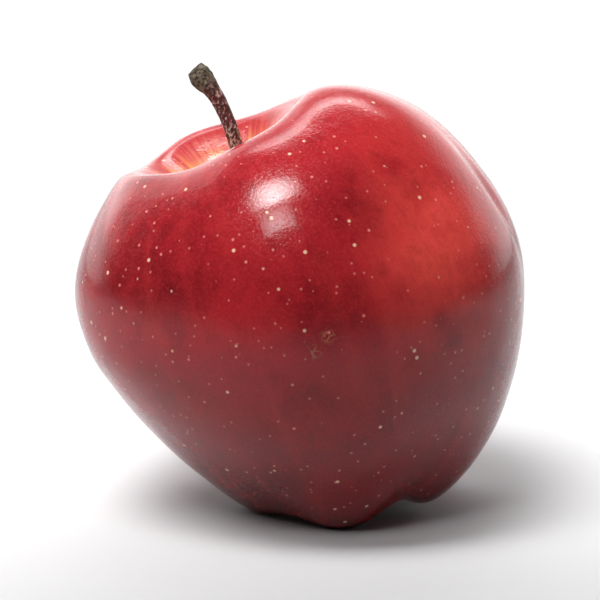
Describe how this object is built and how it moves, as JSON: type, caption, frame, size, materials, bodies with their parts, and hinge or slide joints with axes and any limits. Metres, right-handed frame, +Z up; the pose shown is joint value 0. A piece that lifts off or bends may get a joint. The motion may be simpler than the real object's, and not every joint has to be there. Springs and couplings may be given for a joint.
{
  "type": "apple",
  "caption": "Whole dark red conic apple with lobed feet, leaning to one side, with a thick-ended stem in its cavity and a dried calyx underneath.",
  "frame": {"origin": "on the ground, under the middle of the whole apple's box", "axes": "+Z up; the apple's top leans to -X; the picture looks along +Y"},
  "size_m": [0.0754, 0.0742, 0.0764],
  "materials": {
    "skin": "waxy gloss",
    "stem_wood": "rough bark",
    "dried_calyx": "dry and matt"
  },
  "bodies": {
    "root": {"fruit": "skin", "stem": "stem_wood", "sepal_1": "dried_calyx", "sepal_2": "dried_calyx", "sepal_3": "dried_calyx", "sepal_4": "dried_calyx", "sepal_5": "dried_calyx", "stamen_tuft": "dried_calyx"}
  },
  "joints": []
}
